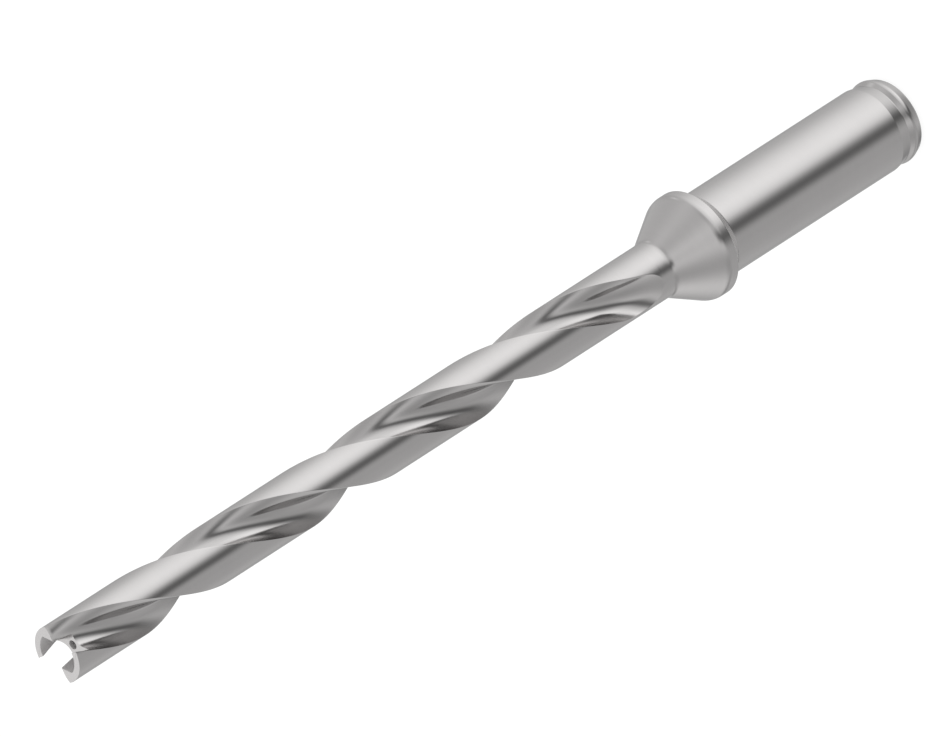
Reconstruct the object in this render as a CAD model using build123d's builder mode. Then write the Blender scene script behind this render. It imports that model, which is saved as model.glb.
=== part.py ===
from build123d import *
import os
import numpy as np
from math import atan2, cos, hypot, pi, radians, sin

# ----------------------------------------------------------------------------
# Body of a modular drill, millimetres.  One piece of steel, turned, milled and
# ground: plain round shank, collar with a conical nose, body with two
# right-hand helical flutes, and a pocket in the end that takes a separate
# drilling head.  +Z runs along the axis towards the drilling head, +X runs
# along the pocket's drive slot, and the origin is the centre of the shank's
# end face.
# ----------------------------------------------------------------------------

# turned outline: radius and height of its corners
shank_r = 8.0            # standard 16 mm shank
end_corner = (7.18, 0.0)        # end face meets the steep lead-in cone
bead_corner = (8.09, 2.29)      # lead-in cone meets the groove's wall (before rounding)
groove_corner = (7.59, 3.60)    # bottom of the V groove
groove_top = (shank_r, 5.81)    # groove runs out into the shank
shank_top = 47.3                # shank meets the collar's back chamfer
collar_r = 10.0
collar_back = 49.44             # back chamfer meets the rim
collar_front = 51.6             # rim meets the conical nose (before rounding)
body_r = 5.31
nose_top = 59.83                # conical nose meets the fluted body
length = 206.83                 # overall, shank end face to tip face

# roundings of those corners, in the order of the outline
end_round = 1.2
bead_round = 1.6
groove_round = 0.3
groove_top_round = 0.5
shank_top_round = 0.6
collar_back_round = 0.15
collar_front_round = 3.0
nose_foot_round = 2.6

# flutes: two, half a turn apart, right-hand
lead = 82.35                    # axial length of one full turn
edge_angle_at_tip = 117.63      # first edge, from +X, at the tip face
flute_span = 88.7               # from the first edge round to the second
# section of one flute, from its first edge (angle 0) to its second edge
# (angle flute_span), as radius-true points: two nearly radial walls joined
# by a rounded floor
flute_points = [
    (5.310, 0.000), (4.783, 0.218), (4.232, 0.366), (3.667, 0.436),
    (3.096, 0.432), (2.527, 0.439), (1.967, 0.546), (1.435, 0.753),
    (0.956, 1.059), (0.556, 1.464), (0.252, 1.947), (0.058, 2.482),
    (-0.043, 3.043), (-0.080, 3.613), (-0.063, 4.182), (0.009, 4.748),
    (0.120, 5.309),
]
edge_overrun = 1.5              # how far the section is drawn on past the edges

# run-out of the flutes towards the collar: below its start the cutter's section
# moves out of the body, leans round and at last slides off sideways
runout_start = 75.21            # height where the section's middle starts to lift
runout_tilt = (0.039, -0.678)   # the start's change with x and y across the section
section_middle = (2.6, 2.6)
lift_x = 0.0266                 # move along x, for each mm^2 of depth below the start
lean = (-0.00226, -0.00018)     # turn in radians, for each mm^2 and mm^3 of depth
slide_y = -0.0288               # move along y, for each mm^2 of depth past slide_start
slide_start = 6.22
runout_end = 62.2               # the whole section is clear of the body here

# pocket for the drilling head, in the tip face
pocket_depth = 3.78
pocket_r = 3.96                 # round seat in the two arms
pocket_half_width = 2.37        # half distance between the two drive faces, along Y
pocket_corner_round = 0.22

# coolant channel
channel_r = 0.8                 # from the pocket floor down
shank_bore_r = 1.5              # wider bore in the shank
shank_bore_depth = 44.0
shank_bore_cone = 1.0           # height of the cone at its end
shank_bore_chamfer = 0.35


def flute_section(z):
    """The flute's section at height z, in the row frame, drawn on past both edges."""
    base = [np.array(p) for p in flute_points]
    first = (base[0] - base[1]) / np.linalg.norm(base[0] - base[1])
    last = (base[-1] - base[-2]) / np.linalg.norm(base[-1] - base[-2])
    base = [base[0] + first * edge_overrun] + base + [base[-1] + last * edge_overrun]
    turn = radians(edge_angle_at_tip + (z - length) * 360 / lead)
    pts = []
    for x, y in base:
        x, y = x - section_middle[0], y - section_middle[1]
        depth = max(0.0, runout_start + runout_tilt[0] * x + runout_tilt[1] * y - z)
        a = lean[0] * depth**2 + lean[1] * depth**3
        x, y = x * cos(a) - y * sin(a), x * sin(a) + y * cos(a)
        x += section_middle[0] + lift_x * depth**2
        y += section_middle[1] + slide_y * max(0.0, depth - slide_start) ** 2
        r, a = hypot(x, y), atan2(y, x)
        pts.append((r * cos(turn - a), r * sin(turn - a)))
    return pts


# heights of the flute sections: close together in the run-out
heights = [runout_end + 0.8 * i for i in range(20)]
heights += [heights[-1] + 1.6, heights[-1] + 4.0]
while heights[-1] < length:
    heights.append(heights[-1] + 4.5)

# where the section's points lie along it, the same at every height
steps = [hypot(b[0] - a[0], b[1] - a[1]) for a, b in zip(flute_points, flute_points[1:])]
steps = [edge_overrun] + steps + [edge_overrun]
knots = [sum(steps[:i]) / sum(steps) for i in range(len(steps) + 1)]

# one flute, as the solid that the cutter sweeps out
with BuildPart() as flute:
    for z in heights:
        pts = flute_section(z)
        # closed well outside the body, from the last point round to the first
        ends = [atan2(y, x) for x, y in (pts[-1], pts[0])]
        span = (ends[1] - ends[0]) % (2 * pi)
        corners = [(18 * cos(ends[0] + span * k), 18 * sin(ends[0] + span * k)) for k in (-0.04, 0.5, 1.04)]
        with BuildSketch(Plane.XY.offset(z)):
            with BuildLine():
                add(Edge.make_spline(pts, parameters=knots))
                Polyline(pts[-1], *corners, pts[0])
            make_face()
    loft()

with BuildPart() as drill_body:
    # turned outline
    with BuildSketch(Plane.XZ) as outline:
        with BuildLine():
            Polyline(
                (0, 0), end_corner, bead_corner, groove_corner, groove_top,
                (shank_r, shank_top), (collar_r, collar_back),
                (collar_r, collar_front), (body_r, nose_top), (body_r, length), (0, length),
                close=True)
        make_face()
        for (r, z), rounding in (
            (end_corner, end_round), (bead_corner, bead_round),
            (groove_corner, groove_round), (groove_top, groove_top_round),
            ((shank_r, shank_top), shank_top_round),
            ((collar_r, collar_back), collar_back_round),
            ((collar_r, collar_front), collar_front_round),
            ((body_r, nose_top), nose_foot_round),
        ):
            corner = outline.vertices().sort_by_distance((r, z, 0))[0]
            fillet(corner, radius=rounding)
    revolve(axis=Axis.Z)

    # the two flutes
    with PolarLocations(0, 2):
        add(flute.part, mode=Mode.SUBTRACT)

    # pocket for the drilling head: a round seat crossed by the two drive faces
    with BuildSketch(Plane.XY.offset(length)) as pocket:
        Circle(pocket_r)
        Rectangle(4 * pocket_r, 2 * pocket_half_width, mode=Mode.INTERSECT)
        fillet(pocket.vertices(), radius=pocket_corner_round)
    extrude(amount=-pocket_depth, mode=Mode.SUBTRACT)

    # coolant channel, with the wider bore in the shank
    with BuildSketch(Plane.XZ):
        with BuildLine():
            Polyline(
                (0, -1), (shank_bore_r + shank_bore_chamfer + 1, -1),
                (shank_bore_r, shank_bore_chamfer), (shank_bore_r, shank_bore_depth),
                (channel_r, shank_bore_depth + shank_bore_cone), (channel_r, length + 1),
                (0, length + 1), close=True)
        make_face()
    revolve(axis=Axis.Z, mode=Mode.SUBTRACT)

drill_body.part.label = "drill_body"
os.makedirs("parts", exist_ok=True)
export_step(drill_body.part, "parts/drill_body.step")
print("volume mm3", drill_body.part.volume, "solids", len(drill_body.part.solids()),
      "centre", drill_body.part.center(CenterOf.MASS), "size", drill_body.part.bounding_box().size)
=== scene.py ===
from math import atan2, cos, degrees, hypot, pi, radians, sin, sqrt, tan

import bmesh
import bpy
import numpy as np
from mathutils import Matrix, Vector
from mathutils.geometry import delaunay_2d_cdt


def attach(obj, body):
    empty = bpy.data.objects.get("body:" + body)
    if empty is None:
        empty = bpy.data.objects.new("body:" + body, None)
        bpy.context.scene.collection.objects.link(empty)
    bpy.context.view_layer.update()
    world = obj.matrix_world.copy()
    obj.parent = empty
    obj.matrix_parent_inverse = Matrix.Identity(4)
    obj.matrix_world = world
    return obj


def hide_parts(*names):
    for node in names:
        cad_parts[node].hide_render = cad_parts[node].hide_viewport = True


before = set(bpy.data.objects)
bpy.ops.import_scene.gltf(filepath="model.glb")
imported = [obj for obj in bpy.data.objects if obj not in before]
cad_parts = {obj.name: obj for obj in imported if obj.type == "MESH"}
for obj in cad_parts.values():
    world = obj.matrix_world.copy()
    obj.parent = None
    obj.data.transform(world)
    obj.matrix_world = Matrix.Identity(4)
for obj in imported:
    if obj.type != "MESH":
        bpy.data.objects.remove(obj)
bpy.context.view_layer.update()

# ----------------------------------------------------------------------------
# The drill body's sizes, millimetres, the same as the model's own.
# ----------------------------------------------------------------------------
outline = [            # radius, height, rounding of each corner of the turned outline
    (7.18, 0.0, 1.2), (8.09, 2.29, 1.6), (7.59, 3.60, 0.3), (8.0, 5.81, 0.5),
    (8.0, 47.3, 0.6), (10.0, 49.44, 0.15), (10.0, 51.6, 3.0), (5.31, 59.83, 2.6),
]
body_r = 5.31
length = 206.83
lead = 82.35
edge_angle_at_tip = 117.63
flute_points = [
    (5.310, 0.000), (4.783, 0.218), (4.232, 0.366), (3.667, 0.436),
    (3.096, 0.432), (2.527, 0.439), (1.967, 0.546), (1.435, 0.753),
    (0.956, 1.059), (0.556, 1.464), (0.252, 1.947), (0.058, 2.482),
    (-0.043, 3.043), (-0.080, 3.613), (-0.063, 4.182), (0.009, 4.748),
    (0.120, 5.309),
]
edge_overrun = 1.5
# run-out: where the section starts to move, and how it moves with depth below that
runout_start, runout_tilt = 75.21, (0.039, -0.678)
section_middle = (2.6, 2.6)
lift_x, lean = 0.0266, (-0.00226, -0.00018)
slide_y, slide_start = -0.0288, 6.22
pocket_depth = 3.78
pocket_r = 3.96
pocket_half_width = 2.37
pocket_corner_round = 0.22
channel_r = 0.8
shank_bore_r = 1.5
shank_bore_depth = 44.0
shank_bore_cone = 1.0
shank_bore_chamfer = 0.35


def smooth_curve(x, y):
    """Slopes of a smooth curve through the points, for hermite()."""
    x, y = np.asarray(x, float), np.asarray(y, float)
    n = len(x)
    a, b = np.zeros((n, n)), np.zeros(n)
    h = np.diff(x)
    for i in range(1, n - 1):
        a[i, i - 1:i + 2] = h[i], 2 * (h[i - 1] + h[i]), h[i - 1]
        b[i] = 3 * (h[i] * (y[i] - y[i - 1]) / h[i - 1] + h[i - 1] * (y[i + 1] - y[i]) / h[i])
    a[0, :2] = 2, 1
    b[0] = 3 * (y[1] - y[0]) / h[0]
    a[-1, -2:] = 1, 2
    b[-1] = 3 * (y[-1] - y[-2]) / h[-1]
    return np.linalg.solve(a, b)


def hermite(x, y, m, q):
    x, y, m, q = (np.asarray(v, float) for v in (x, y, m, q))
    i = np.clip(np.searchsorted(x, q, side="right") - 1, 0, len(x) - 2)
    h = x[i + 1] - x[i]
    t = (q - x[i]) / h
    return ((2 * t**3 - 3 * t**2 + 1) * y[i] + (t**3 - 2 * t**2 + t) * h * m[i]
            + (-2 * t**3 + 3 * t**2) * y[i + 1] + (t**3 - t**2) * h * m[i + 1])


def along(x, y, q):
    return hermite(x, y, smooth_curve(x, y), q)


# the flute's section as a dense curve, with its own overrun past both edges
sec = np.array(flute_points)
chord = np.r_[0, np.cumsum(np.hypot(*np.diff(sec, axis=0).T))]
fine = np.linspace(0, chord[-1], 361)
curve = np.column_stack([along(chord, sec[:, 0], fine), along(chord, sec[:, 1], fine)])
first = (curve[0] - curve[3]) / np.linalg.norm(curve[0] - curve[3])
last = (curve[-1] - curve[-4]) / np.linalg.norm(curve[-1] - curve[-4])
more = np.linspace(0, edge_overrun, 41)[1:]
curve = np.vstack([curve[0] + more[::-1, None] * first, curve, curve[-1] + more[:, None] * last])
off_x, off_y = (curve - section_middle).T


def lifted(z):
    """The section's points at height z: radius, and angle back from the first edge."""
    depth = np.maximum(0.0, runout_start + runout_tilt[0] * off_x + runout_tilt[1] * off_y - z)
    a = lean[0] * depth**2 + lean[1] * depth**3
    x = section_middle[0] + off_x * np.cos(a) - off_y * np.sin(a) + lift_x * depth**2
    y = section_middle[1] + off_x * np.sin(a) + off_y * np.cos(a) + slide_y * np.maximum(0.0, depth - slide_start)**2
    return np.hypot(x, y), np.arctan2(y, x)


def opening(z):
    """The part of the section inside the body at height z, or None."""
    r, a = lifted(z)
    inside = np.nonzero(r < body_r)[0]
    if len(inside) < 2:
        return None
    i, j = inside[0], inside[-1]
    p = np.column_stack([r * np.cos(a), r * np.sin(a)])

    def cross(k, m):
        f = (body_r - r[k]) / (r[m] - r[k])
        q = p[k] + (p[m] - p[k]) * f
        return q * body_r / np.hypot(*q)
    return np.vstack([cross(i, i - 1), p[i:j + 1], cross(j, j + 1)])


LAND, EASE = 44, 4               # points round a land and round a broken edge
N_A, N_M, N_B = 22, 34, 12       # points across a flute: first wall, between, second wall
edge_break = 0.045
pocket_floor = length - pocket_depth


def turned(p, z):
    """From the flute's own frame, with angles running back from the edge, to the row frame."""
    t = radians(edge_angle_at_tip + (z - length) * 360 / lead)
    c, s = cos(t), sin(t)
    return np.column_stack([p[:, 0] * c + p[:, 1] * s, p[:, 0] * s - p[:, 1] * c])


def in_pocket(p):
    """How far inside the pocket's outline the points of the row frame lie."""
    x, y = np.abs(p[:, 0]), np.abs(p[:, 1])
    rr = pocket_corner_round
    cy = pocket_half_width - rr
    cx = sqrt((pocket_r - rr)**2 - cy**2)
    d = np.minimum(pocket_half_width - y, pocket_r - np.hypot(x, y))
    corner = (x > cx) & (y > cy) & (np.arctan2(y, x) > atan2(cy, cx) - 1e-9)
    return np.where(corner, rr - np.hypot(x - cx, y - cy), d)


def pocket_wall(p, q):
    """The pocket's outline from p, on a drive face, round to q, on the seat: the side of
    negative y where x is positive, or its half turn."""
    flip = 1.0 if p[1] < 0 else -1.0
    p, q = p * flip, q * flip
    rr = pocket_corner_round
    cy = pocket_half_width - rr
    cx = sqrt((pocket_r - rr)**2 - cy**2)
    a_out = atan2(cy, cx)
    line = [np.array([x, -pocket_half_width]) for x in np.linspace(p[0], cx, 12)]
    bend = [np.array([cx + rr * cos(a), -cy + rr * sin(a)]) for a in np.linspace(-pi / 2, -a_out, 7)[1:]]
    end = atan2(q[1], q[0])
    seat = [np.array([pocket_r * cos(a), pocket_r * sin(a)]) for a in np.linspace(-a_out, end, 22)[1:]]
    return np.array(line + bend + seat) * flip


def half_ring(z):
    """Half of the body's ring at height z, in the flute's own frame: the flute with both
    broken edges, then the land."""
    p = opening(z)
    ends = [atan2(p[0][1], p[0][0]), atan2(p[-1][1], p[-1][0])]
    wide = body_r * (ends[1] - ends[0])
    d = np.r_[0, np.cumsum(np.hypot(*np.diff(p, axis=0).T))]
    b = min(edge_break, 0.2 * wide, 0.2 * d[-1])

    def at(q):
        return np.array([np.interp(q, d, p[:, 0]), np.interp(q, d, p[:, 1])])

    def on_land(a):
        return np.array([body_r * cos(a), body_r * sin(a)])
    k = np.linspace(0, 1, EASE + 1)
    s, c, e = on_land(ends[0] - b / body_r), p[0], at(b)
    ease_in = [(1 - t)**2 * s + 2 * t * (1 - t) * c + t * t * e for t in k]
    s, c, e = at(d[-1] - b), p[-1], on_land(ends[1] + b / body_r)
    ease_out = [(1 - t)**2 * s + 2 * t * (1 - t) * c + t * t * e for t in k]
    # where the flute meets the pocket's outline, as lengths along the section
    even = np.linspace(b, d[-1] - b, N_A + N_M + N_B + 1)
    q = even
    if z > pocket_floor - 9:
        zz = max(z, pocket_floor)
        pp = opening(zz) if z < pocket_floor else p
        dd = np.r_[0, np.cumsum(np.hypot(*np.diff(pp, axis=0).T))]
        f = in_pocket(turned(pp, zz))
        inside = np.nonzero(f > 0)[0]
        i, j = inside[0], inside[-1]
        da = dd[i - 1] + (dd[i] - dd[i - 1]) * f[i - 1] / (f[i - 1] - f[i])
        db = dd[j] + (dd[j + 1] - dd[j]) * f[j] / (f[j] - f[j + 1])
        own = np.r_[np.linspace(b, da, N_A + 1), np.linspace(da, db, N_M + 1)[1:],
                    np.linspace(db, d[-1] - b, N_B + 1)[1:]]
        w = min(1.0, (z - (pocket_floor - 9)) / 9)
        w = w * w * (3 - 2 * w)
        q = (1 - w) * even + w * own
    mid = [at(v) for v in q[1:-1]]
    a0, a1 = ends[1] + b / body_r, ends[0] - b / body_r + pi
    land = [on_land(a) for a in np.linspace(a0, a1, LAND + 2)[1:-1]]
    return np.array(ease_in + mid + ease_out + land)


AT_A = EASE + N_A                # places of the pocket's two meeting points in half a ring
AT_B = EASE + N_A + N_M
ACROSS = 2 * EASE + N_A + N_M + N_B + 1

# lowest height with any flute left
low, high = 55.0, 72.0
for _ in range(48):
    mid_z = (low + high) / 2
    if opening(mid_z) is None:
        low = mid_z
    else:
        high = mid_z
runout_low = high
last_a = np.mean([atan2(q[1], q[0]) for q in opening(high + 0.002)])

verts, faces = [], []


def add_ring(p, z):
    start = len(verts)
    verts.extend((x / 1000, y / 1000, z / 1000) for x, y in p)
    return list(range(start, start + len(p)))


def join(a, b):
    n = len(a)
    for i in range(n):
        j = (i + 1) % n
        faces.append((a[i], a[j], b[j], b[i]))


def round_ring(r, z):
    """A plain ring with the points placed for joining to the fluted body."""
    base = np.r_[last_a, np.linspace(last_a, last_a + pi, LAND + 2)[1:-1]]
    ang = np.r_[base, base + pi]
    p = np.column_stack([r * np.cos(ang), r * np.sin(ang)])
    return add_ring(turned(p, runout_low), z)


# the turned outline with its roundings, from the end face up
corners = [(0.0, 0.0, 0.0)] + outline + [(body_r, runout_low, 0.0)]
path = []
for i in range(1, len(corners) - 1):
    a, c, b = (np.array(corners[k][:2]) for k in (i - 1, i, i + 1))
    rad = corners[i][2]
    u, v = (a - c) / np.linalg.norm(a - c), (b - c) / np.linalg.norm(b - c)
    half = np.arccos(np.clip(u @ v, -1, 1)) / 2
    cut = rad / tan(half)
    m = (u + v) / np.linalg.norm(u + v)
    centre = c + m * rad / sin(half)
    s, e = c + u * cut - centre, c + v * cut - centre
    sweep = pi - 2 * half
    n = max(2, int(np.ceil(degrees(sweep) / 5)))
    for k in range(n + 1):
        w = k / n
        path.append(centre + (s * sin((1 - w) * sweep) + e * sin(w * sweep)) / sin(sweep))
# the bore from the pocket's floor down and out at the end face
bore = [(channel_r + 0.06, pocket_floor), (channel_r, pocket_floor - 0.06)]
bore += [(channel_r, z) for z in np.linspace(pocket_floor - 0.06, shank_bore_depth + shank_bore_cone, 24)[1:]]
bore += [(shank_bore_r, shank_bore_depth)]
bore += [(shank_bore_r, z) for z in np.linspace(shank_bore_depth, shank_bore_chamfer, 8)[1:]]
bore += [(shank_bore_r + shank_bore_chamfer, 0.0)]
start_face = [(r, 0.0) for r in np.linspace(shank_bore_r + shank_bore_chamfer, path[0][0], 6)[1:-1]]
rings = []
previous = None
for r, z in bore + start_face + [tuple(p) for p in path]:
    if previous is not None and z - previous[1] > 3.0:
        for f in np.linspace(0, 1, int((z - previous[1]) // 2.0) + 2)[1:-1]:
            rings.append(round_ring(previous[0] + (r - previous[0]) * f, previous[1] + (z - previous[1]) * f))
    rings.append(round_ring(r, z))
    previous = (r, z)
for z in np.linspace(previous[1], runout_low, 6)[1:]:
    rings.append(round_ring(body_r, z))
for a, b in zip(rings, rings[1:]):
    join(a, b)

# fluted body: rings close together where the run-out ends
steps = [runout_low + v for v in (0.004, 0.015, 0.035, 0.065, 0.105, 0.155, 0.215, 0.29, 0.38, 0.49,
                                  0.62, 0.77, 0.94, 1.13, 1.34, 1.57, 1.82, 2.1, 2.4)]
while steps[-1] < 80.5:
    steps.append(steps[-1] + 0.35)
rest = int(np.ceil((pocket_floor - steps[-1]) / 0.72))
steps += list(np.linspace(steps[-1], pocket_floor, rest + 1)[1:])
body = []
for z in steps:
    h = half_ring(z)
    body.append(add_ring(turned(np.vstack([h, -h]), z), z))
t, u = body[0], rings[-1]
n, m = len(t) // 2, LAND + 1
for side in (0, 1):
    f0, p0, f1, p1 = side * n, side * m, (1 - side) * n, (1 - side) * m
    for i in range(ACROSS - 1):
        faces.append((u[p0], t[f0 + i + 1], t[f0 + i]))
    faces.append((u[p0], u[p0 + 1], t[f0 + ACROSS], t[f0 + ACROSS - 1]))
    for i in range(LAND - 1):
        faces.append((u[p0 + 1 + i], u[p0 + 2 + i], t[f0 + ACROSS + i + 1], t[f0 + ACROSS + i]))
    faces.append((u[p0 + LAND], u[p1], t[f1], t[f0 + ACROSS + LAND - 1]))
for a, b in zip(body, body[1:]):
    join(a, b)


def arm_rings(z, base=None):
    """The two arms beside the pocket at height z. With base, the body's ring at the
    pocket's floor, they share its points."""
    h = half_ring(z)
    full = turned(np.vstack([h, -h]), z)
    ids = base or add_ring(full, z)
    out = []
    for side in (0, 1):
        own = [side * n + i for i in range(AT_B, n)] + [(1 - side) * n + i for i in range(AT_A + 1)]
        wall = pocket_wall(full[own[-1]], full[own[0]])[1:-1]
        out.append([ids[i] for i in own] + add_ring(wall, z))
    return out, full


low_arms, _ = arm_rings(pocket_floor, body[-1])
arms = [low_arms]
for z in np.linspace(pocket_floor, length - 0.06, 8)[1:]:
    arms.append(arm_rings(z)[0])
for a, b in zip(arms, arms[1:]):
    for side in (0, 1):
        join(a[side], b[side])
# tip faces, their edges just broken
for side in (0, 1):
    ids = arms[-1][side]
    p = np.array([verts[i][:2] for i in ids]) * 1000
    before, after = p - np.roll(p, 1, axis=0), np.roll(p, -1, axis=0) - p
    before /= np.hypot(*before.T)[:, None]
    after /= np.hypot(*after.T)[:, None]
    area = 0.5 * np.sum(p[:, 0] * np.roll(p[:, 1], -1) - p[:, 1] * np.roll(p[:, 0], -1))
    sgn = 1.0 if area > 0 else -1.0
    inward = np.column_stack([-(before + after)[:, 1], (before + after)[:, 0]]) * sgn
    inward /= np.hypot(*inward.T)[:, None]
    top = add_ring(p + inward * 0.06, length)
    join(ids, top)
    faces.append(tuple(top))
# the pocket's floor round the bore's mouth
edge = []
for side in (0, 1):
    edge += [body[-1][side * n + i] for i in range(AT_A, AT_B + 1)]
    edge += list(reversed(low_arms[side][n - AT_B + AT_A + 1:]))
mouth = rings[0]
flat = [Vector(verts[i][:2]) * 1000 for i in edge + mouth]
k, e = len(edge), []
e += [(i, (i + 1) % k) for i in range(k)]
e += [(k + i, k + (i + 1) % len(mouth)) for i in range(len(mouth))]
tri = delaunay_2d_cdt(flat, e, [], 1, 1e-7)
assert len(tri[0]) == len(flat), "the floor gained points"
ids = edge + mouth
poly = np.array([flat[i] for i in range(k)])
for f in tri[2]:
    c = np.mean([np.array(flat[tri[3][i][0]]) for i in f], axis=0)
    if all(tri[3][i][0] >= k for i in f):
        continue
    x0, y0 = poly.T
    x1, y1 = np.roll(poly, -1, axis=0).T
    crossing = ((y0 > c[1]) != (y1 > c[1])) & (c[0] < (x1 - x0) * (c[1] - y0) / np.where(y1 == y0, 1e-12, y1 - y0) + x0)
    if crossing.sum() % 2:
        faces.append(tuple(ids[tri[3][i][0]] for i in f))

mesh = bpy.data.meshes.new("drill_body_steel")
mesh.from_pydata(verts, [], faces)
bm = bmesh.new()
bm.from_mesh(mesh)
loose = [v for v in bm.verts if not v.link_faces]
bmesh.ops.delete(bm, geom=loose, context="VERTS")
bmesh.ops.recalc_face_normals(bm, faces=bm.faces)
bm.to_mesh(mesh)
bm.free()
drill = bpy.data.objects.new("drill_body_steel", mesh)
bpy.context.scene.collection.objects.link(drill)

for poly in drill.data.polygons:
    poly.use_smooth = True
drill.data.set_sharp_from_angle(angle=radians(33))
weigh = drill.modifiers.new("weigh", "WEIGHTED_NORMAL")
weigh.mode = "FACE_AREA"
weigh.keep_sharp = True
weigh.weight = 50
dg = bpy.context.evaluated_depsgraph_get()
final = bpy.data.meshes.new_from_object(drill.evaluated_get(dg), preserve_all_data_layers=True, depsgraph=dg)
drill.modifiers.clear()
drill.data = final
drill.data.name = "drill_body_steel"

# ----------------------------------------------------------------------------
# Steel
# ----------------------------------------------------------------------------


class Nodes:
    """Short names for building a node tree."""

    def __init__(self, tree):
        self.tree = tree

    def make(self, kind, **props):
        n = self.tree.nodes.new(kind)
        for k, v in props.items():
            setattr(n, k, v)
        return n

    def put(self, socket, value):
        if isinstance(value, bpy.types.NodeSocket):
            self.tree.links.new(value, socket)
        else:
            socket.default_value = value

    def math(self, op, *args, clamp=False):
        n = self.make("ShaderNodeMath", operation=op, use_clamp=clamp)
        for i, a in enumerate(args):
            self.put(n.inputs[i], a)
        return n.outputs[0]

    def vec(self, op, *args, out=0):
        n = self.make("ShaderNodeVectorMath", operation=op)
        for i, a in enumerate(args):
            self.put(n.inputs[i], a)
        return n.outputs[out]

    def split(self, v):
        n = self.make("ShaderNodeSeparateXYZ")
        self.put(n.inputs[0], v)
        return n.outputs

    def merge(self, x, y, z):
        n = self.make("ShaderNodeCombineXYZ")
        for i, a in enumerate((x, y, z)):
            self.put(n.inputs[i], a)
        return n.outputs[0]

    def step(self, v, a, b, lo=0.0, hi=1.0, smooth=True):
        n = self.make("ShaderNodeMapRange", interpolation_type="SMOOTHSTEP" if smooth else "LINEAR")
        for i, x in enumerate((v, a, b, lo, hi)):
            self.put(n.inputs[i], x)
        return n.outputs[0]

    def noise(self, v, scale=1.0, detail=4.0, rough=0.5, dist=0.0):
        n = self.make("ShaderNodeTexNoise", noise_dimensions="3D")
        self.put(n.inputs["Vector"], v)
        n.inputs["Scale"].default_value = scale
        n.inputs["Detail"].default_value = detail
        n.inputs["Roughness"].default_value = rough
        n.inputs["Distortion"].default_value = dist
        return n.outputs["Fac"]

    def mix(self, f, a, b):
        """Number a to number b by f."""
        return self.math("ADD", self.math("MULTIPLY", a, self.math("SUBTRACT", 1.0, f)), self.math("MULTIPLY", b, f))


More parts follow.
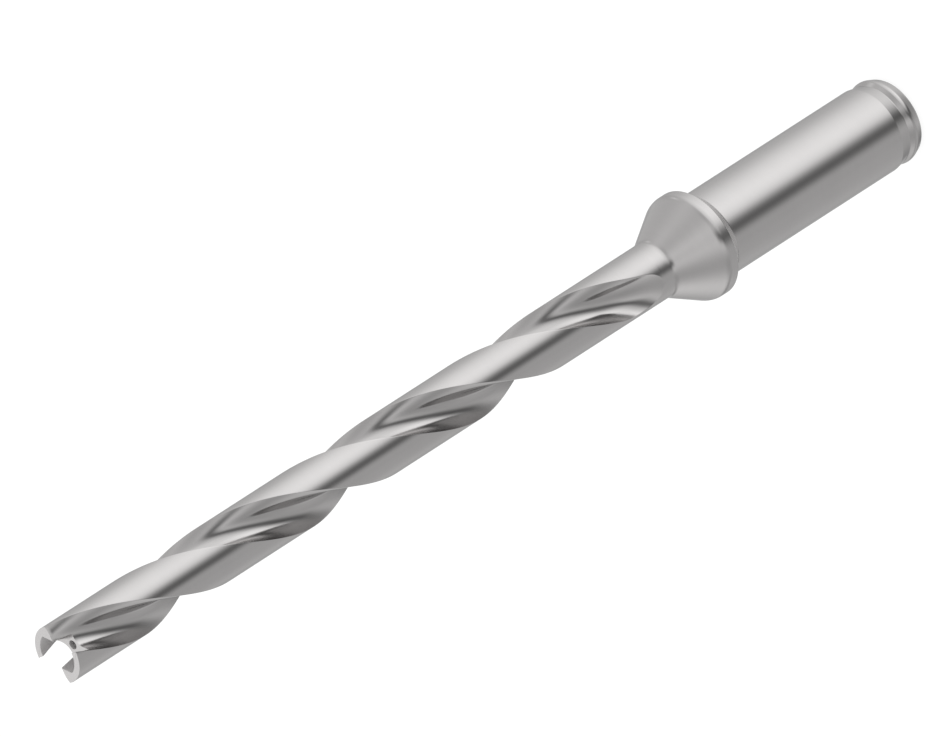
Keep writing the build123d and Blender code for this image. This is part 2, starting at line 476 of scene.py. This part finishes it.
def steel_material():
    mat = bpy.data.materials.new("steel")
    mat.use_nodes = True
    tree = mat.node_tree
    tree.nodes.clear()
    n = Nodes(tree)
    out = n.make("ShaderNodeOutputMaterial")
    bsdf = n.make("ShaderNodeBsdfPrincipled")
    n.put(out.inputs["Surface"], bsdf.outputs[0])
    mm = n.vec("SCALE", n.make("ShaderNodeTexCoord").outputs["Object"])
    mm.node.inputs["Scale"].default_value = 1000.0
    x, y, z = n.split(mm)
    r = n.math("SQRT", n.math("ADD", n.math("MULTIPLY", x, x), n.math("MULTIPLY", y, y)))
    # unwound coordinates: constant along the flutes
    turn = n.math("MULTIPLY", z, -2 * pi / lead)
    rot = n.make("ShaderNodeVectorRotate", rotation_type="Z_AXIS")
    n.put(rot.inputs["Vector"], mm)
    n.put(rot.inputs["Angle"], turn)
    ux, uy, uz = n.split(rot.outputs[0])
    in_body = n.step(z, 60.4, 61.2)                     # fluted body, not shank and collar
    on_land = n.step(r, body_r - 0.03, body_r - 0.012)     # the lands' own surface
    in_flute = n.math("MULTIPLY", in_body, n.math("SUBTRACT", 1.0, on_land))
    # fine grinding lines: round the turned faces, along the flutes
    round_v = n.merge(n.math("MULTIPLY", x, 0.22), n.math("MULTIPLY", y, 0.22), n.math("MULTIPLY", z, 9.0))
    flute_v = n.merge(n.math("MULTIPLY", ux, 11.0), n.math("MULTIPLY", uy, 11.0), n.math("MULTIPLY", uz, 0.10))
    lines_round = n.noise(round_v, 1.0, 3.0, 0.6)
    lines_flute = n.noise(flute_v, 1.0, 3.0, 0.6)
    lines = n.mix(in_flute, lines_round, lines_flute)
    # broad, very soft cloudiness in the finish
    cloud = n.noise(mm, 0.11, 3.0, 0.5)
    speck = n.noise(mm, 2.3, 4.0, 0.6)
    # light wear along the flutes' edges
    edge = n.math("MULTIPLY", in_body, n.step(r, body_r - 0.22, body_r - 0.02))
    edge = n.math("MULTIPLY", edge, n.math("SUBTRACT", 1.0, on_land))
    wear = n.math("MULTIPLY", edge, n.step(n.noise(mm, 1.6, 3.0, 0.6), 0.42, 0.62))
    shade = n.math("ADD", 0.60, n.math("MULTIPLY", n.math("SUBTRACT", cloud, 0.5), 0.05))
    shade = n.math("ADD", shade, n.math("MULTIPLY", n.math("SUBTRACT", lines, 0.5), 0.045))
    shade = n.math("ADD", shade, n.math("MULTIPLY", wear, 0.05))
    shade = n.math("MULTIPLY", shade, n.math("SUBTRACT", 1.0, n.math("MULTIPLY", in_flute, 0.05)))
    # the flutes' second wall: painted light, its colour made brighter to lift the shade of the flute's reflections of
    # itself, and a little softer than the rest
    t0 = radians(edge_angle_at_tip - length * 360 / lead)
    from_wall = n.math("ABSOLUTE", n.math("ADD", n.math("MULTIPLY", ux, cos(t0)), n.math("MULTIPLY", uy, sin(t0))))
    up_wall = n.math("ABSOLUTE", n.math("SUBTRACT", n.math("MULTIPLY", ux, sin(t0)), n.math("MULTIPLY", uy, cos(t0))))
    second = n.math("MULTIPLY", n.step(from_wall, 0.75, 0.35), n.step(up_wall, 2.6, 3.6))
    second = n.math("MULTIPLY", second, in_flute)
    # painted light: the second wall's colour made 8% brighter, lifting its shade
    shade = n.math("MULTIPLY", shade, n.math("ADD", 1.0, n.math("MULTIPLY", second, 0.08)))
    # milled pocket walls and drilled bores: satin, less of a mirror
    ay = n.math("ABSOLUTE", y)
    pocket = n.math("MULTIPLY", n.step(z, pocket_floor + 0.02, pocket_floor + 0.08), n.step(z, length - 0.02, length - 0.06))
    pocket = n.math("MULTIPLY", pocket, n.step(r, pocket_r + 0.05, pocket_r + 0.02))
    pocket = n.math("MULTIPLY", pocket, n.step(ay, pocket_half_width + 0.05, pocket_half_width + 0.02))
    bored = n.math("MAXIMUM", n.math("MULTIPLY", n.step(r, channel_r + 0.03, channel_r + 0.005), n.step(z, pocket_floor, pocket_floor - 0.04)),
                   n.math("MULTIPLY", n.step(r, shank_bore_r + 0.2, shank_bore_r + 0.05), n.step(z, 46.2, 45.8)))
    satin = n.math("MAXIMUM", pocket, bored)
    # the collar's back chamfer, turned and not ground
    back = n.math("MULTIPLY", n.step(z, 47.0, 47.35), n.step(z, 49.5, 49.44))
    back = n.math("MULTIPLY", back, n.math("MULTIPLY", n.step(r, 8.02, 8.15), n.step(r, 9.99, 9.95)))
    shade = n.mix(satin, shade, 0.50)
    shade = n.mix(back, shade, 0.68)
    col = n.make("ShaderNodeCombineColor")
    n.put(col.inputs[0], n.math("MULTIPLY", shade, 1.006))
    n.put(col.inputs[1], n.math("MULTIPLY", shade, 0.984))
    n.put(col.inputs[2], n.math("MULTIPLY", shade, 0.978))
    n.put(bsdf.inputs["Base Color"], col.outputs[0])
    n.put(bsdf.inputs["Metallic"], n.math("SUBTRACT", 1.0, n.math("ADD", n.math("MULTIPLY", n.math("ADD", pocket, n.math("MULTIPLY", back, 0.4)), 0.45), n.math("MULTIPLY", bored, 0.75))))
    bsdf.inputs["Specular Tint"].default_value = (0.80, 0.80, 0.80, 1.0)
    rough = n.math("ADD", 0.14, n.math("MULTIPLY", n.math("SUBTRACT", cloud, 0.5), 0.07))
    rough = n.math("ADD", rough, n.math("MULTIPLY", n.math("SUBTRACT", speck, 0.5), 0.03))
    rough = n.math("ADD", rough, n.math("MULTIPLY", n.math("SUBTRACT", lines, 0.5), 0.05))
    rough = n.math("ADD", rough, n.math("ADD", n.math("MULTIPLY", satin, 0.30), n.math("MULTIPLY", back, 0.27)))
    rough = n.math("ADD", rough, n.math("MULTIPLY", second, 0.10))
    n.put(bsdf.inputs["Roughness"], rough)
    bump = n.make("ShaderNodeBump")
    bump.inputs["Strength"].default_value = 0.10
    bump.inputs["Distance"].default_value = 0.00002
    n.put(bump.inputs["Height"], lines)
    n.put(bsdf.inputs["Normal"], bump.outputs[0])
    return mat


drill.data.materials.clear()
drill.data.materials.append(steel_material())
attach(drill, "root")
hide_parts("drill_body")

# ----------------------------------------------------------------------------
# Floor, studio light and camera
# ----------------------------------------------------------------------------
to_camera = Vector((-0.6044, -0.5490, 0.5774)).normalized()
along_d = Vector((-0.4274, -0.3882, -0.8165)).normalized()     # down the picture's long diagonal
across_d = Vector((-0.6724, 0.7402, 0.0)).normalized()

floor_mesh = bpy.data.meshes.new("floor")
fb = bmesh.new()
bmesh.ops.create_grid(fb, x_segments=8, y_segments=8, size=3.0)
fb.to_mesh(floor_mesh)
fb.free()
floor = bpy.data.objects.new("floor", floor_mesh)
bpy.context.scene.collection.objects.link(floor)
fm = bpy.data.materials.new("floor")
fm.use_nodes = True
fn = Nodes(fm.node_tree)
fbsdf = fm.node_tree.nodes["Principled BSDF"]
grain = fn.noise(fn.make("ShaderNodeTexCoord").outputs["Object"], 60.0, 3.0, 0.5)
tone = fn.math("ADD", 0.145, fn.math("MULTIPLY", grain, 0.02))
fc = fn.make("ShaderNodeCombineColor")
for i in range(3):
    fn.put(fc.inputs[i], tone)
fn.put(fbsdf.inputs["Base Color"], fc.outputs[0])
fbsdf.inputs["Roughness"].default_value = 0.9
# a light table: lit evenly from below, so that it stays pale right up to the steel
fbsdf.inputs["Emission Color"].default_value = (1.0, 1.0, 1.0, 1.0)
fbsdf.inputs["Emission Strength"].default_value = 0.87
fbsdf.inputs["Specular IOR Level"].default_value = 0.0
# from below the floor is clear, so that it doesn't hide what stands on it
both = fn.make("ShaderNodeMixShader")
fn.put(both.inputs[0], fn.make("ShaderNodeNewGeometry").outputs["Backfacing"])
fn.put(both.inputs[1], fbsdf.outputs[0])
fn.put(both.inputs[2], fn.make("ShaderNodeBsdfTransparent").outputs[0])
fn.put(fm.node_tree.nodes["Material Output"].inputs[0], both.outputs[0])
floor.location.z = -0.00002
floor.data.materials.append(fm)
floor.visible_glossy = False


world = bpy.data.worlds.new("studio")
bpy.context.scene.world = world
world.use_nodes = True
wt = world.node_tree
wt.nodes.clear()
w = Nodes(wt)
d = w.make("ShaderNodeTexCoord").outputs["Generated"]
nrm = w.vec("NORMALIZE", w.vec("ADD", d, tuple(to_camera)))
es = w.vec("DOT_PRODUCT", nrm, tuple(along_d), out=1)
et = w.vec("DOT_PRODUCT", nrm, tuple(across_d), out=1)


facing = w.vec("DOT_PRODUCT", nrm, tuple(to_camera), out=1)


def softbox(level, amount, s0, t0, long, wide, turn):
    """A soft oval light, or a dark gap for a negative amount, added to the studio's level."""
    c, s = cos(radians(turn)), sin(radians(turn))
    ds, dt = w.math("SUBTRACT", es, s0), w.math("SUBTRACT", et, t0)
    u = w.math("ADD", w.math("MULTIPLY", ds, c / long), w.math("MULTIPLY", dt, s / long))
    v = w.math("ADD", w.math("MULTIPLY", ds, -s / wide), w.math("MULTIPLY", dt, c / wide))
    q = w.math("ADD", w.math("MULTIPLY", u, u), w.math("MULTIPLY", v, v))
    g = w.math("POWER", 2.71828, w.math("MULTIPLY", q, -1.0))
    return w.math("ADD", level, w.math("MULTIPLY", g, amount))


# the studio's brightness as it shows in the steel, 0 to 1
level = w.math("ADD", 0.491, w.math("ADD", w.math("MULTIPLY", es, -0.192), w.math("MULTIPLY", et, -0.122)))
for light in (
    (0.576, 0.744, -0.006, 0.65, 0.167, 71.8),
    (-0.357, 0.646, 0.072, 0.089, 0.131, 3.7),
    (-0.616, 0.762, 0.025, 0.106, 0.299, -9.0),
    (0.314, 0.291, 0.163, 0.374, 0.56, -56.2),
    (0.453, 1.16, 0.117, 0.859, 0.097, 59.9),
    (0.17, -0.768, 0.029, 0.233, 0.177, 17.7),
    (0.303, -0.148, 0.829, 0.386, 0.28, 3.0),
    (0.214, 0.438, 0.744, 0.428, 0.165, -36.2),
    (-0.407, 0.409, 0.149, 0.12, 0.223, -71.2),
    (-0.12, -0.12, 0.992, 0.061, 0.484, 60.1),
    (0.115, 0.186, -0.596, 0.357, 0.218, -7.4),
    (0.179, 0.402, -0.318, 0.087, 0.28, -16.1),
    (0.11, 0.38, 0.209, 0.121, 0.077, -56.0),
    (0.109, 0.446, -0.577, 0.145, 0.809, -32.3),
    (0.122, 0.034, -0.817, 0.065, 0.05, 39.5),
    (0.055, 0.22, 0.925, 0.13, 0.07, -39.0),
):
    level = softbox(level, *light)
# straight behind the object the studio is plain
behind = w.step(facing, 0.16, 0.28)
level = w.mix(behind, 0.62, level)
level = w.math("MULTIPLY", w.math("POWER", w.math("MAXIMUM", level, 0.02), 2.2), 1 / 0.60)
studio = w.make("ShaderNodeBackground")
w.put(studio.inputs["Strength"], level)
studio.inputs["Color"].default_value = (1.0, 1.0, 1.0, 1.0)
plain = w.make("ShaderNodeBackground")
plain.inputs["Color"].default_value = (1.0, 1.0, 1.0, 1.0)
plain.inputs["Strength"].default_value = 1.35
kind = w.make("ShaderNodeLightPath")
pick = w.make("ShaderNodeMixShader")
w.put(pick.inputs[0], kind.outputs["Is Glossy Ray"])
w.put(pick.inputs[1], plain.outputs[0])
w.put(pick.inputs[2], studio.outputs[0])
wo = w.make("ShaderNodeOutputWorld")
w.put(wo.inputs["Surface"], pick.outputs[0])

cam_data = bpy.data.cameras.new("camera")
cam = bpy.data.objects.new("camera", cam_data)
bpy.context.scene.collection.objects.link(cam)
bpy.context.scene.camera = cam
cam_data.type = "PERSP"
cam_data.sensor_fit = "HORIZONTAL"
cam_data.sensor_width = 36.0
cam_data.lens = 1250.0
right, up, back = Vector((-0.72079, 0.07715, -0.68885)), Vector((0.33506, -0.83119, -0.44369)), Vector((-0.60679, -0.55061, 0.57326))
m = Matrix((right, up, back)).transposed().to_4x4()
m.translation = Vector((-3.41342, -3.10054, 3.32877)) + (up - right) * 0.0000854
cam.matrix_world = m
cam_data.clip_start = 0.05
cam_data.clip_end = 60.0
bpy.context.scene.view_settings.view_transform = "Standard"
bpy.context.scene.view_settings.look = "None"

print("triangles", sum(len(q.vertices) - 2 for q in drill.data.polygons))
